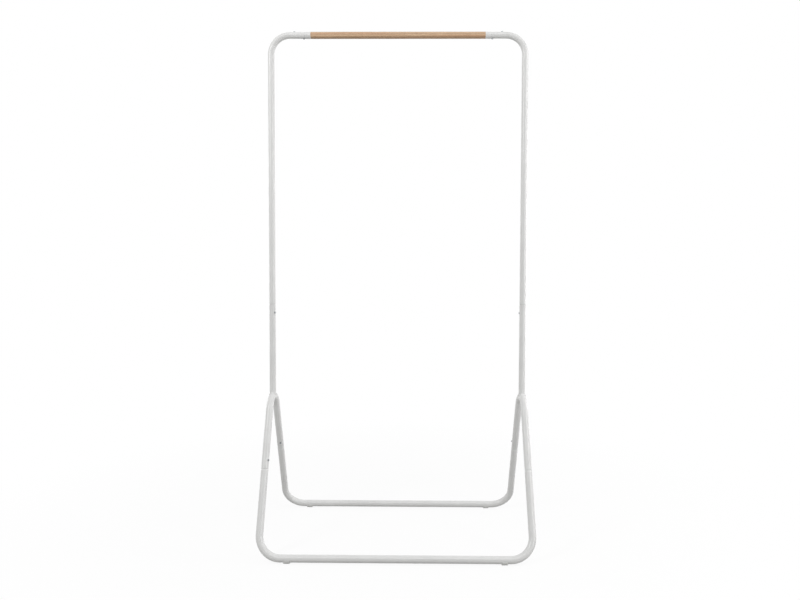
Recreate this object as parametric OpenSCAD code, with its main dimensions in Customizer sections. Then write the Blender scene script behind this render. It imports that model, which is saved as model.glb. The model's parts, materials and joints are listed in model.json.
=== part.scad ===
// Clothes rack of bent steel tube with a wooden hanging rail and snap-button joints.
// Millimetres. +X runs along the rail, -Y is the front and +Z is up.
// The origin lies on the floor, midway between the posts.
// Both side frames are one part, and so are both floor tubes: each right or rear one is turned half round.

/* [Rack] */
// Distance between the centre lines of the two posts
post_spacing = 800; // [600:10:1100]
// Height of the hanging rail's centre line above the floor
rail_height = 1588; // [1300:1:1800]
// Distance between the centre lines of the front and rear floor bars
base_depth = 460; // [380:5:560]
// Height at which the centre lines of a front leg and its rear leg would meet
leg_meeting_height = 530; // [480:1:600]
// Height of the joints in the legs
leg_joint_height = 245; // [200:1:290]
// Height of the joints in the posts
post_joint_height = 739; // [650:1:1000]

/* [Tubes] */
// Outer diameter of the posts and corner tubes
post_tube_d = 20; // [17:0.5:21]
// Outer diameter of the legs and floor bars
leg_tube_d = 22; // [21:0.5:26]
// Wall thickness of every tube
tube_wall = 1.2; // [0.8:0.1:1.5]
// Bend radius of a corner tube, to its centre line
top_bend_r = 60; // [45:1:90]
// Bend radius at the top of a leg arch, to its centre line
arch_bend_r = 58; // [48:1:64]
// Bend radius of a floor tube's corners, to its centre line
base_bend_r = 66; // [50:1:90]

/* [Plug-in joints] */
// Length of the narrowed tube end that plugs into the next tube
spigot_len = 45; // [42:1:60]
// Length of the cone between a tube's full diameter and its narrowed end
swage_len = 4; // [2:0.5:8]
// Radial clearance between a narrowed end and the tube around it
slide_clearance = 0.15; // [0.1:0.05:0.3]
// Distance from a leg's or post's joint to its snap button
button_offset = 25; // [20:1:28]
// Distance from a rail joint to its snap button
rail_button_offset = 34.5; // [34:0.5:37]
// Diameter of a snap button
button_d = 5.8; // [5:0.1:6.5]
// Height of a snap button above its tube
button_proud = 3; // [2:0.1:4]
// Angle of a button away from straight inward, towards the near end of the rack
button_turn = 28; // [0:1:60]
// The same angle at the other end of a floor tube
cross_button_turn = 75; // [0:1:80]

/* [Hanging rail] */
// Diameter of the wooden rail
wood_d = 21; // [20:0.5:24]
// Straight length of a corner tube between its bend and the end of the ferrule's spigot
corner_run = 3; // [0.5:0.5:20]
// Length of the steel collar between the wood and a corner tube
collar_len = 17.5; // [10:0.5:30]
// Depth of the wooden tenon past a rail joint, inside the ferrule's spigot
tenon_depth = 13.5; // [11:0.5:15]
// Distance from a rail joint to its fixing screw
rail_screw_offset = 4; // [4:0.5:8]
// Diameter of a fixing screw's head
screw_head_d = 6; // [5:0.1:7]
// Diameter of a fixing screw's shank
screw_shank_d = 3.4; // [3:0.1:4]
// Length of a fixing screw's shank in the wooden tenon
screw_bite = 8; // [5:0.5:10]

/* [Feet] */
// Height of the floor bars above the floor
foot_lift = 2.5; // [2:0.5:6]
// Length of a foot along its bar
foot_len = 20; // [16:1:30]
// Thickness of a foot's sides beside its bar
foot_wall = 0.75; // [0.5:0.25:3]
// Height of a foot's sides above the bottom of its bar
foot_wrap = 9; // [5:0.5:10]
// Radius of a foot's lower edges along its bar
foot_edge_r = 9; // [2:0.5:9]
// Radius of a foot's lower edges at its ends
foot_end_r = 4.5; // [1:0.5:6]
// Gap between a foot and the bend beside it
foot_from_bend = 9; // [4:1:30]

/* [Hidden] */
$fn = 64;

// Clearances and small sizes
seat_gap = 0.2;
touch_gap = 0.03;
moving_gap = 0.3;
lead_in = 1;
crown_overrun = 5;
edge_chamfer = 0.6;
tube_edge = 0.4;
overcut = 1;

// Snap buttons and their leaf springs
button_hole_d = button_d + 2 * moving_gap;
button_dome = 1.2;
button_flange_d = button_d + 1.7;
button_flange_t = 0.8;
leaf_t = 0.6;
leaf_width = 6;
leaf_reach = 17;
leaf_tail = 6;
leaf_rest = 3.5;
leaf_nose = 1.6;
leaf_gap = 0.1;

// Fixing screws
screw_head_h = 2.4;
screw_recess_w = 0.9;
screw_recess_len = 3.6;
screw_recess_depth = 1.4;
screw_hole_clearance = 0.25;
screw_pilot_clearance = 0.05;
screw_point = 2;
screw_tip_d = 0.4;

// Feet
foot_corner_r = 5;
foot_clearance = 0.1;
foot_width = leg_tube_d + 2 * foot_wall;
foot_height = foot_lift + foot_wrap;
foot_side_r = min(foot_edge_r, foot_height - edge_chamfer, foot_width / 2 - edge_chamfer);
peg_d = 5.4;
peg_root = 0.5;
peg_hole_d = peg_d + 2 * moving_gap;
barb_d = peg_hole_d + 1;
barb_tip_d = 4.4;
barb_h = 3;

// Weld beads
bead_width = 2.2;
bead_height = 1.8;

WHITE = "#f1f1ee";
WOOD = "#d8ab85";
STEEL = "#b4b7bb";
NYLON = "#dededb";

// The rack's main lines
half_width = post_spacing / 2;
half_depth = base_depth / 2;
bar_height = foot_lift + leg_tube_d / 2;
leg_rise = leg_meeting_height - bar_height;
leg_tilt = atan(half_depth / leg_rise);
arch_centre_height = leg_meeting_height - arch_bend_r / sin(leg_tilt);
crown_height = arch_centre_height + arch_bend_r;
wood_len = post_spacing - 2 * (top_bend_r + spigot_len + corner_run + collar_len);
tenon_len = collar_len + tenon_depth;
foot_x = half_width - base_bend_r - foot_from_bend - foot_len / 2;

// Radii at a plug-in joint on a tube of outer diameter d
function bore_r(d) = d / 2 - tube_wall;
function spigot_r(d) = bore_r(d) - slide_clearance;
function spigot_bore_r(d) = spigot_r(d) - tube_wall;
tenon_r = spigot_bore_r(post_tube_d) - slide_clearance;

// The same vector after half a turn about the rack's upright axis
function half_turned(v) = [-v[0], -v[1], v[2]];

// A joint is its seam's centre, the direction towards the narrowed tube's body,
// the direction that its button faces, the button's distance and the tube's diameter
function joint(seam, body_side, facing, offset, d) = [seam, body_side, facing, offset, d];
function seam(j) = j[0];
function body_side(j) = j[1];
function facing(j) = j[2];
function button_distance(j) = j[3];
function joint_tube_d(j) = j[4];
function turned_joint(j) = joint(half_turned(seam(j)), half_turned(body_side(j)), half_turned(facing(j)),
    button_distance(j), joint_tube_d(j));

// Direction up the left front leg, and square to it towards the front
leg_up = [0, sin(leg_tilt), cos(leg_tilt)];
leg_front = [0, -cos(leg_tilt), sin(leg_tilt)];
rear_leg_up = [0, -leg_up[1], leg_up[2]];
rear_leg_front = [0, leg_front[1], -leg_front[2]];
leg_joint_y = half_depth - (leg_joint_height - bar_height) * tan(leg_tilt);

left_rail = joint([-wood_len / 2 - collar_len, 0, rail_height], [1, 0, 0], [0, 0, 1],
    rail_button_offset, post_tube_d);
left_post = joint([-half_width, 0, post_joint_height], [0, 0, 1],
    [cos(button_turn), -sin(button_turn), 0], button_offset, post_tube_d);
front_left_leg = joint([-half_width, -leg_joint_y, leg_joint_height], -leg_up,
    [cos(button_turn), 0, 0] + sin(button_turn) * leg_front, button_offset, leg_tube_d);
rear_left_leg = joint([-half_width, leg_joint_y, leg_joint_height], -rear_leg_up,
    [cos(cross_button_turn), 0, 0] + sin(cross_button_turn) * rear_leg_front, button_offset, leg_tube_d);
right_rail = turned_joint(left_rail);
right_post = turned_joint(left_post);
rear_right_leg = turned_joint(front_left_leg);
front_right_leg = turned_joint(rear_left_leg);

// Turns a left or front part into its twin on the other side
module turned() rotate([0, 0, 180]) children();

// Places a shape with its X, Y and Z axes along three square unit vectors
module placed(origin, x, y, z) {
    multmatrix([
        [x[0], y[0], z[0], origin[0]],
        [x[1], y[1], z[1], origin[1]],
        [x[2], y[2], z[2], origin[2]]]) children();
}

// Places a shape in a joint: the seam is at Z = 0, the narrowed end goes down, the button faces +X
module at_joint(j) placed(seam(j), facing(j), cross(body_side(j), facing(j)), body_side(j)) children();

// Round bar's bend about the origin, from +X towards +Y
module bend(bend_r, turn, d) rotate_extrude(angle = turn) translate([bend_r, 0]) circle(d = d);

// Straight round bar along Z whose far end has its edge broken
module bar(length, d) {
    rotate_extrude() polygon([
        [0, 0],
        [d / 2, 0],
        [d / 2, length - tube_edge],
        [d / 2 - tube_edge, length],
        [0, length]]);
}

// Straight bar that leads into the start of a bend
module lead(bend_r, length, d) translate([bend_r, 0, 0]) rotate([90, 0, 0]) bar(length, d);

// Straight bar that carries on from the end of a quarter bend
module carry_on(bend_r, length, d) translate([0, bend_r, 0]) rotate([0, -90, 0]) bar(length, d);

// Outside of a straight tube into a bend, narrowed to a spigot at its joint
module spigot_lead(bend_r, length, d) {
    translate([bend_r, 0, 0]) rotate([90, 0, 0]) rotate_extrude() polygon([
        [0, 0],
        [d / 2, 0],
        [d / 2, length - seat_gap - swage_len],
        [spigot_r(d), length - seat_gap],
        [spigot_r(d), length + spigot_len - lead_in],
        [spigot_r(d) - lead_in / 2, length + spigot_len],
        [0, length + spigot_len]]);
}

// Bore of the same tube, open past the end of the spigot
module spigot_lead_bore(bend_r, length, d) {
    translate([bend_r, 0, 0]) rotate([90, 0, 0]) rotate_extrude() polygon([
        [0, 0],
        [bore_r(d), 0],
        [bore_r(d), length - seat_gap - swage_len],
        [spigot_bore_r(d), length - seat_gap],
        [spigot_bore_r(d), length + spigot_len + overcut],
        [0, length + spigot_len + overcut]]);
}

// Hole for a joint's button through one wall
module button_hole(j) {
    at_joint(j) translate([0, 0, -button_distance(j)]) rotate([0, 90, 0])
        cylinder(d = button_hole_d, h = joint_tube_d(j));
}

// Hole for a rail joint's screw through one wall
module screw_hole(j) {
    at_joint(j) translate([0, 0, -rail_screw_offset]) rotate([0, -90, 0])
        cylinder(d = screw_shank_d + 2 * screw_hole_clearance, h = joint_tube_d(j));
}

// Snap button of a joint: flange inside the spigot, round shank and domed tip
module snap_button(j) {
    flange_r = button_flange_d / 2;
    flange_top = sqrt(pow(spigot_bore_r(joint_tube_d(j)), 2) - pow(flange_r, 2)) - moving_gap;
    tip = joint_tube_d(j) / 2 + button_proud;
    dome_r = (pow(button_d / 2, 2) + pow(button_dome, 2)) / (2 * button_dome);
    color(STEEL) at_joint(j) translate([0, 0, -button_distance(j)]) rotate([0, 90, 0]) {
        translate([0, 0, flange_top - button_flange_t]) cylinder(r = flange_r, h = button_flange_t);
        intersection() {
            translate([0, 0, flange_top - button_flange_t]) cylinder(d = button_d, h = tip);
            translate([0, 0, tip - dome_r]) sphere(r = dome_r);
        }
        translate([0, 0, flange_top - button_flange_t])
            cylinder(d = button_d, h = tip - button_dome - flange_top + button_flange_t);
    }
}

// Strip of spring steel along a list of flat points
module strip(points) {
    for (i = [0:len(points) - 2]) {
        run = points[i + 1] - points[i];
        translate(points[i]) rotate(atan2(run[1], run[0]))
            translate([0, -leaf_t / 2]) square([norm(run), leaf_t]);
        translate(points[i + 1]) circle(d = leaf_t);
    }
    translate(points[0]) circle(d = leaf_t);
}

// Leaf spring under a snap button, folded towards the seam and lying along the far wall
module leaf_spring(j) {
    bore = spigot_bore_r(joint_tube_d(j));
    flange_under = sqrt(pow(bore, 2) - pow(button_flange_d / 2, 2)) - moving_gap - button_flange_t;
    top = flange_under - leaf_gap - leaf_t / 2;
    floor = leaf_t / 2 + leaf_gap - sqrt(pow(bore, 2) - pow(leaf_width / 2, 2));
    color(STEEL) at_joint(j) translate([0, 0, -button_distance(j)]) rotate([90, 0, 0])
        linear_extrude(height = leaf_width, center = true) strip([
            [top, -leaf_rest],
            [top, leaf_rest],
            [floor + leaf_nose, leaf_reach],
            [floor, leaf_reach - leaf_nose],
            [floor, -leaf_tail]]);
}

// Rounded rectangle about the origin
module rounded_rectangle(length, width, r) {
    square([length - 2 * r, width], center = true);
    square([length, width - 2 * r], center = true);
    for (x = [-1, 1], y = [-1, 1])
        translate([x * (length / 2 - r), y * (width / 2 - r)]) circle(r = r);
}

// Foot's block about the origin, with its sole on the floor and its lower edges rounded
module foot_block() {
    intersection() {
        linear_extrude(height = foot_height) rounded_rectangle(foot_len, foot_width, foot_corner_r);
        translate([0, 0, foot_height]) rotate([90, 0, 0]) linear_extrude(height = 2 * foot_width, center = true)
            rounded_rectangle(foot_len, 2 * foot_height, foot_end_r);
        translate([0, 0, foot_height]) rotate([90, 0, 90]) linear_extrude(height = 2 * foot_len, center = true)
            rounded_rectangle(foot_width, 2 * foot_height, foot_side_r);
    }
}

// Foot under a floor bar: saddle block and the barbed peg that holds it in the tube
module foot(x, y) {
    peg_base = foot_lift - foot_clearance - peg_root;
    barb_base = bar_height - sqrt(pow(bore_r(leg_tube_d), 2) - pow(barb_d / 2, 2)) + seat_gap;
    color(NYLON) translate([x, y, 0]) {
        difference() {
            foot_block();
            translate([-foot_len, 0, bar_height]) rotate([0, 90, 0])
                cylinder(r = leg_tube_d / 2 + foot_clearance, h = 2 * foot_len);
        }
        translate([0, 0, peg_base]) cylinder(d = peg_d, h = barb_base - peg_base);
        translate([0, 0, barb_base]) cylinder(d1 = barb_d, d2 = barb_tip_d, h = barb_h);
    }
}

// Wooden rail with a turned tenon at each end, drilled from below for the screws
module wood_rail() {
    half = wood_len / 2;
    color(WOOD) difference() {
        translate([0, 0, rail_height]) rotate([0, 90, 0]) rotate_extrude() polygon([
            [0, -half - tenon_len],
            [tenon_r - lead_in, -half - tenon_len],
            [tenon_r, lead_in - half - tenon_len],
            [tenon_r, -half],
            [wood_d / 2 - edge_chamfer, -half],
            [wood_d / 2, edge_chamfer - half],
            [wood_d / 2, half - edge_chamfer],
            [wood_d / 2 - edge_chamfer, half],
            [tenon_r, half],
            [tenon_r, half + tenon_len - lead_in],
            [tenon_r - lead_in, half + tenon_len],
            [0, half + tenon_len]]);
        for (j = [left_rail, right_rail])
            at_joint(j) translate([screw_bite - tenon_r + seat_gap, 0, -rail_screw_offset])
                rotate([0, -90, 0]) cylinder(d = screw_shank_d + 2 * screw_pilot_clearance, h = wood_d);
    }
}

// Steel ferrule: collar against the wood, spigot into the corner tube
module rail_ferrule(j) {
    bore = spigot_bore_r(post_tube_d);
    plug_r = spigot_r(post_tube_d);
    color(WHITE) difference() {
        at_joint(j) rotate_extrude() polygon([
            [bore, -spigot_len],
            [plug_r - lead_in / 2, -spigot_len],
            [plug_r, lead_in - spigot_len],
            [plug_r, seat_gap],
            [wood_d / 2 - edge_chamfer, seat_gap],
            [wood_d / 2, seat_gap + edge_chamfer],
            [wood_d / 2, collar_len - edge_chamfer / 2],
            [wood_d / 2 - edge_chamfer / 2, collar_len],
            [bore, collar_len]]);
        button_hole(j);
        screw_hole(j);
    }
}

module left_rail_ferrule() rail_ferrule(left_rail);
module right_rail_ferrule() rail_ferrule(right_rail);

// Pan-head screw up through the corner tube and the ferrule into the tenon
module rail_screw(j) {
    head_seat = post_tube_d / 2 + touch_gap;
    bite = tenon_r - screw_bite;
    at_joint(j) translate([0, 0, -rail_screw_offset]) rotate([0, -90, 0]) difference() {
        union() {
            translate([0, 0, head_seat]) cylinder(d = screw_head_d, h = screw_head_h / 2);
            translate([0, 0, head_seat + screw_head_h / 2])
                cylinder(d1 = screw_head_d, d2 = screw_head_d - screw_head_h, h = screw_head_h / 2);
            translate([0, 0, bite + screw_point])
                cylinder(d = screw_shank_d, h = head_seat - bite - screw_point);
            translate([0, 0, bite]) cylinder(d1 = screw_tip_d, d2 = screw_shank_d, h = screw_point);
        }
        for (turn = [0, 90])
            rotate(turn) translate([-screw_recess_len / 2, -screw_recess_w / 2,
                head_seat + screw_head_h - screw_recess_depth])
                cube([screw_recess_len, screw_recess_w, screw_recess_depth + overcut]);
    }
}

module rail_screws() color(STEEL) {
    rail_screw(left_rail);
    rail_screw(right_rail);
}

// Corner tube: open end over the ferrule's spigot, narrowed end down into the post
module left_corner_tube() {
    rail_run = spigot_len + corner_run;
    post_run = rail_height - top_bend_r - post_joint_height;
    bore = 2 * bore_r(post_tube_d);
    color(WHITE) difference() {
        placed([top_bend_r - half_width, 0, rail_height - top_bend_r], [-1, 0, 0], [0, 0, 1], [0, 1, 0])
            difference() {
                union() {
                    bend(top_bend_r, 90, post_tube_d);
                    carry_on(top_bend_r, rail_run, post_tube_d);
                    spigot_lead(top_bend_r, post_run, post_tube_d);
                }
                bend(top_bend_r, 90, bore);
                carry_on(top_bend_r, rail_run + overcut, bore);
                spigot_lead_bore(top_bend_r, post_run, post_tube_d);
            }
        button_hole(left_rail);
        screw_hole(left_rail);
        button_hole(left_post);
    }
}

module right_corner_tube() turned() left_corner_tube();

// Ring whose top is the crown of the left leg arch
module crown_ring(d) {
    translate([-half_width, 0, arch_centre_height]) rotate([0, 90, 0])
        rotate_extrude() translate([arch_bend_r, 0]) circle(d = d);
}

// Lower post, coped onto the crown of the arch
module left_lower_post() {
    post_len = post_joint_height - crown_height;
    color(WHITE) difference() {
        translate([-half_width, 0, crown_height]) bar(post_len, post_tube_d);
        translate([-half_width, 0, crown_height - overcut])
            cylinder(r = bore_r(post_tube_d), h = post_len + 2 * overcut);
        crown_ring(leg_tube_d + 2 * touch_gap);
        button_hole(left_post);
    }
}

module right_lower_post() turned() left_lower_post();

// Front half of the left leg arch, from the crown to the front leg's joint
module front_half_arch() {
    crown_turn = 90 - leg_tilt;
    leg_run = (leg_meeting_height - leg_joint_height) / cos(leg_tilt) - arch_bend_r / tan(leg_tilt);
    bore = 2 * bore_r(leg_tube_d);
    difference() {
        intersection() {
            placed([-half_width, 0, arch_centre_height], leg_front, leg_up, [-1, 0, 0]) {
                bend(arch_bend_r, crown_turn + crown_overrun, leg_tube_d);
                lead(arch_bend_r, leg_run, leg_tube_d);
            }
            translate([-post_spacing, -base_depth, 0]) cube([post_spacing, base_depth, rail_height]);
        }
        placed([-half_width, 0, arch_centre_height], leg_front, leg_up, [-1, 0, 0]) {
            bend(arch_bend_r, crown_turn + crown_overrun, bore);
            lead(arch_bend_r, leg_run + overcut, bore);
        }
    }
}

// Leg arch: one tube bent over the crown, with both ends open for the floor tubes
module left_leg_arch() {
    color(WHITE) difference() {
        union() {
            front_half_arch();
            mirror([0, 1, 0]) front_half_arch();
        }
        button_hole(front_left_leg);
        button_hole(rear_left_leg);
    }
}

module right_leg_arch() turned() left_leg_arch();

// Weld bead that follows the saddle between post and arch
module left_post_weld() {
    color(WHITE) difference() {
        intersection() {
            translate([-half_width, 0, crown_height])
                cylinder(d = post_tube_d + 2 * bead_width, h = leg_tube_d);
            crown_ring(leg_tube_d + 2 * bead_height);
        }
        translate([-half_width, 0, crown_height - overcut])
            cylinder(d = post_tube_d + 2 * touch_gap, h = leg_tube_d + 2 * overcut);
        crown_ring(leg_tube_d + 2 * touch_gap);
    }
}

module right_post_weld() turned() left_post_weld();

// Places a floor tube's corner at one side of its own plane, from the leg down into the bar
module base_corner(side) {
    translate([side * (half_width - base_bend_r), base_bend_r, 0])
        rotate(side > 0 ? [180, 0, 0] : [0, 0, 180]) children();
}

// Floor tube: bar along the floor, a bend at each corner and a narrowed end in each leg
module front_base_tube() {
    bar_run = post_spacing - 2 * base_bend_r;
    leg_run = (leg_joint_height - bar_height) / cos(leg_tilt) - base_bend_r;
    bore = 2 * bore_r(leg_tube_d);
    color(WHITE) difference() {
        placed([0, -half_depth, bar_height], [1, 0, 0], leg_up, leg_front) difference() {
            union() {
                translate([-bar_run / 2, 0, 0]) rotate([0, 90, 0]) cylinder(d = leg_tube_d, h = bar_run);
                for (side = [-1, 1]) base_corner(side) {
                    bend(base_bend_r, 90, leg_tube_d);
                    spigot_lead(base_bend_r, leg_run, leg_tube_d);
                }
            }
            translate([-bar_run / 2, 0, 0]) rotate([0, 90, 0]) cylinder(d = bore, h = bar_run);
            for (side = [-1, 1]) base_corner(side) {
                bend(base_bend_r, 90, bore);
                spigot_lead_bore(base_bend_r, leg_run, leg_tube_d);
            }
        }
        button_hole(front_left_leg);
        button_hole(front_right_leg);
        for (x = [-foot_x, foot_x]) translate([x, -half_depth, 0]) cylinder(d = peg_hole_d, h = bar_height);
    }
}

module rear_base_tube() turned() front_base_tube();

module front_left_foot() foot(-foot_x, -half_depth);
module front_right_foot() foot(foot_x, -half_depth);
module rear_left_foot() foot(-foot_x, half_depth);
module rear_right_foot() foot(foot_x, half_depth);

module left_rail_button() snap_button(left_rail);
module right_rail_button() snap_button(right_rail);
module left_post_button() snap_button(left_post);
module right_post_button() snap_button(right_post);
module front_left_leg_button() snap_button(front_left_leg);
module front_right_leg_button() snap_button(front_right_leg);
module rear_left_leg_button() snap_button(rear_left_leg);
module rear_right_leg_button() snap_button(rear_right_leg);

module left_rail_spring() leaf_spring(left_rail);
module right_rail_spring() leaf_spring(right_rail);
module left_post_spring() leaf_spring(left_post);
module right_post_spring() leaf_spring(right_post);
module front_left_leg_spring() leaf_spring(front_left_leg);
module front_right_leg_spring() leaf_spring(front_right_leg);
module rear_left_leg_spring() leaf_spring(rear_left_leg);
module rear_right_leg_spring() leaf_spring(rear_right_leg);

wood_rail();
left_rail_ferrule();
right_rail_ferrule();
rail_screws();
left_corner_tube();
right_corner_tube();
left_lower_post();
right_lower_post();
left_leg_arch();
right_leg_arch();
left_post_weld();
right_post_weld();
front_base_tube();
rear_base_tube();
front_left_foot();
front_right_foot();
rear_left_foot();
rear_right_foot();
left_rail_button();
right_rail_button();
left_post_button();
right_post_button();
front_left_leg_button();
front_right_leg_button();
rear_left_leg_button();
rear_right_leg_button();
left_rail_spring();
right_rail_spring();
left_post_spring();
right_post_spring();
front_left_leg_spring();
front_right_leg_spring();
rear_left_leg_spring();
rear_right_leg_spring();
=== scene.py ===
"""Dresses the clothes rack: a finish for its tubes, a turned hanging rail, weld beads, fixing screws, snap
buttons, leaf springs and moulded glides, and the studio that it stands in."""

import json
import math

import bmesh
import bpy
from mathutils import Matrix, Vector


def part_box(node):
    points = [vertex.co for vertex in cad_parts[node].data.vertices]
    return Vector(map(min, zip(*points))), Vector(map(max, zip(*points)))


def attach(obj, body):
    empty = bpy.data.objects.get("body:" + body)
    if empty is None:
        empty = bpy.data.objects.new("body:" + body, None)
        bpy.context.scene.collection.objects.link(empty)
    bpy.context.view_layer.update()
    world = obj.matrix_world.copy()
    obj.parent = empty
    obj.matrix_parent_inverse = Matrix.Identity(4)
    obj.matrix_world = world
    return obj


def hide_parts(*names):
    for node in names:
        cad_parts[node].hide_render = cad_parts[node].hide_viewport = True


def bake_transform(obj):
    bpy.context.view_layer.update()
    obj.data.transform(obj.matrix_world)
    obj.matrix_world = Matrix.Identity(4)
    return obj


bl_info = {
    "name": "Clothes rack",
    "version": (1, 0, 0),
    "blender": (4, 5, 0),
    "location": "3D View > Sidebar > Clothes rack",
    "description": "Finishes and small parts for a clothes rack of bent steel tube",
    "category": "Object",
}

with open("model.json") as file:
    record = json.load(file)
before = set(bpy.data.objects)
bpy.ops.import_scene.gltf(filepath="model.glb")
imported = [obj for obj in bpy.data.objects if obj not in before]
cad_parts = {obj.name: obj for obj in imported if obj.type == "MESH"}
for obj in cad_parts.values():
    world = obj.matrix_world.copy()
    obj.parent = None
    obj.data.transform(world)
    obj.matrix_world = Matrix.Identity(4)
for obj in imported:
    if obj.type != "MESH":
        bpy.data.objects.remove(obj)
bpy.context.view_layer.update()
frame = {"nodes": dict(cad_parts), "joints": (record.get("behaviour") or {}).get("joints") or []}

MM = 0.001
TUBE_WALL = 1.2 * MM
MERGE_GAP = 0.001 * MM
SHARP_EDGE = math.radians(38)
WHITE = (1, 1, 1, 1)

# Places and sizes read from the CAD part
RAIL_LOW, RAIL_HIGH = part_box("wood_rail")
POST_LOW, POST_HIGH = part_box("left_lower_post")
ARCH_LOW, ARCH_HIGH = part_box("left_leg_arch")
SCREWS_LOW, SCREWS_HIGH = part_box("rail_screws")
FLOOR_TUBE_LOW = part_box("front_base_tube")[0]
RAIL_HEIGHT = (RAIL_LOW.z + RAIL_HIGH.z) / 2
RAIL_RADIUS = (RAIL_HIGH.z - RAIL_LOW.z) / 2
SHOULDER_X = -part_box("left_rail_ferrule")[1].x
POST_X = -(POST_LOW.x + POST_HIGH.x) / 2
POST_RADIUS = (POST_HIGH.x - POST_LOW.x) / 2
ARCH_RADIUS = (ARCH_HIGH.x - ARCH_LOW.x) / 2
SCREW_HEAD_RADIUS = (SCREWS_HIGH.y - SCREWS_LOW.y) / 2

COATED = ["left_rail_ferrule", "right_rail_ferrule", "left_corner_tube", "right_corner_tube",
          "left_lower_post", "right_lower_post", "left_leg_arch", "right_leg_arch",
          "front_base_tube", "rear_base_tube"]
FEET = ["front_left_foot", "front_right_foot", "rear_left_foot", "rear_right_foot"]


def linear(hex_colour):
    """Linear colour of an sRGB hex value."""
    parts = [int(hex_colour[i:i + 2], 16) / 255 for i in (1, 3, 5)]
    return [p / 12.92 if p <= 0.04045 else ((p + 0.055) / 1.055) ** 2.4 for p in parts]


def length(name, description, default):
    """A length in metres that a user may change."""
    return bpy.props.FloatProperty(name=name, description=description, default=default, min=0, precision=5,
                                   unit="LENGTH")


def colour(name, description, hex_colour):
    """A surface colour that a user may change."""
    return bpy.props.FloatVectorProperty(name=name, description=description,
                                         default=(*linear(hex_colour), 1), size=4, min=0, max=1,
                                         subtype="COLOR")


def share(name, description, default):
    """A share from 0 to 1 that a user may change."""
    return bpy.props.FloatProperty(name=name, description=description, default=default, min=0, max=1,
                                   subtype="FACTOR")


def number(name, description, default):
    """A plain number that a user may change."""
    return bpy.props.FloatProperty(name=name, description=description, default=default, min=0)


def angle(name, description, default):
    """An angle in radians that a user may change."""
    return bpy.props.FloatProperty(name=name, description=description, default=default, subtype="ANGLE")


# Nodes

def feed(tree, socket, value):
    """Gives an input a value, a socket or a node's first result."""
    if isinstance(value, bpy.types.Node):
        value = next(output for output in value.outputs if output.enabled)
    if isinstance(value, bpy.types.NodeSocket):
        tree.links.new(value, socket)
    else:
        socket.default_value = value


def add(tree, kind, links=None, **settings):
    """Adds a node with its settings, and feeds the inputs that links names."""
    made = tree.nodes.new(kind)
    made.location = (200 * (len(tree.nodes) % 10), -300 * (len(tree.nodes) // 10))
    for name, value in settings.items():
        setattr(made, name, value)
    for key, value in (links or {}).items():
        feed(tree, made.inputs[key], value)
    return made


def maths(tree, operation, *values):
    """The result of one step of arithmetic."""
    return add(tree, "ShaderNodeMath", dict(enumerate(values)), operation=operation).outputs[0]


def vector(tree, x=0.0, y=0.0, z=0.0):
    """A place or a size from its three parts."""
    return add(tree, "ShaderNodeCombineXYZ", {"X": x, "Y": y, "Z": z})


def spread(tree, value, source=(0.0, 1.0), result=(0.0, 1.0), **settings):
    """A value moved from its source range to its result range."""
    return add(tree, "ShaderNodeMapRange", {"Value": value, "From Min": source[0], "From Max": source[1],
                                            "To Min": result[0], "To Max": result[1]}, **settings)


def noise(tree, place, size, detail=2.0):
    """Noise with spots of a size."""
    return add(tree, "ShaderNodeTexNoise", {"Vector": place, "Scale": 1 / size, "Detail": detail})


def stretched(tree, place, long, wide):
    """A place counted in a length along the rail and in a width across it."""
    return add(tree, "ShaderNodeMapping", {"Vector": place, "Scale": (1 / long, 1 / wide, 1 / wide)})


def stretched_noise(tree, place, long, wide, roughness):
    """Noise with spots that are long along the rail and narrow across it."""
    return add(tree, "ShaderNodeTexNoise", {"Vector": stretched(tree, place, long, wide), "Scale": 1.0,
                                            "Detail": 3.0, "Roughness": roughness})


def mixed(tree, part, one, other):
    """A colour between two, with a part from 0 to 1 of the other one."""
    return add(tree, "ShaderNodeMix", {"Factor": part, "A": one, "B": other}, data_type="RGBA")


def relief(tree, height, strength, depth):
    """The small tilts that heights give a surface."""
    return add(tree, "ShaderNodeBump", {"Height": height, "Strength": strength, "Distance": depth})


# Finishes

class RackFinishes(bpy.types.PropertyGroup):
    """Colours and grain of the rack's surfaces."""

    coat: colour("Powder coat", "Colour of the tubes' powder coat", "#E9E9E8")
    coat_thin: colour("Thin coat", "Colour where the coat lies a little thinner", "#E5E5E4")
    coat_roughness: share("Coat roughness", "Roughness of the powder coat", 0.22)
    coat_unevenness: share("Coat unevenness", "How far the coat's roughness strays from its mean", 0.03)
    peel: length("Orange peel", "Distance between the waves in the powder coat", 2.2 * MM)
    wood_light: colour("Light wood", "Early wood of the hanging rail", "#EBCAA6")
    wood_dark: colour("Dark wood", "Late wood of the hanging rail", "#8B694A")
    wood_warm: colour("Warm wood", "Long warmer streaks in the hanging rail", "#C2936F")
    wood_fleck: colour("Wood fleck", "Rays in the beech, seen as short dashes", "#A37D5C")
    ring_gap: length("Growth ring", "Distance between growth rings in the rail", 9 * MM)
    zinc: colour("Zinc", "Colour of the plated screws and buttons", "#9DA0A3")
    zinc_dull: colour("Dull zinc", "Colour of the plating where it has dulled", "#7F8285")
    spring: colour("Spring steel", "Colour of the rolled spring strip", "#7D8084")
    spring_dark: colour("Oiled spring steel", "Colour of the strip where oil lies on it", "#5E6064")
    nylon: colour("Nylon", "Colour of the moulded glides", "#E0E0DE")


def surface(name, **values):
    """A material whose one shader has the given values all over, with its tree, shader and place."""
    material = bpy.data.materials.new(name)
    material.use_nodes = True
    tree = material.node_tree
    tree.nodes.clear()
    plain = {key.replace("_", " "): value for key, value in values.items()}
    shader = add(tree, "ShaderNodeBsdfPrincipled", plain)
    add(tree, "ShaderNodeOutputMaterial", {"Surface": shader})
    return material, tree, shader, add(tree, "ShaderNodeTexCoord").outputs["Object"]


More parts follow.
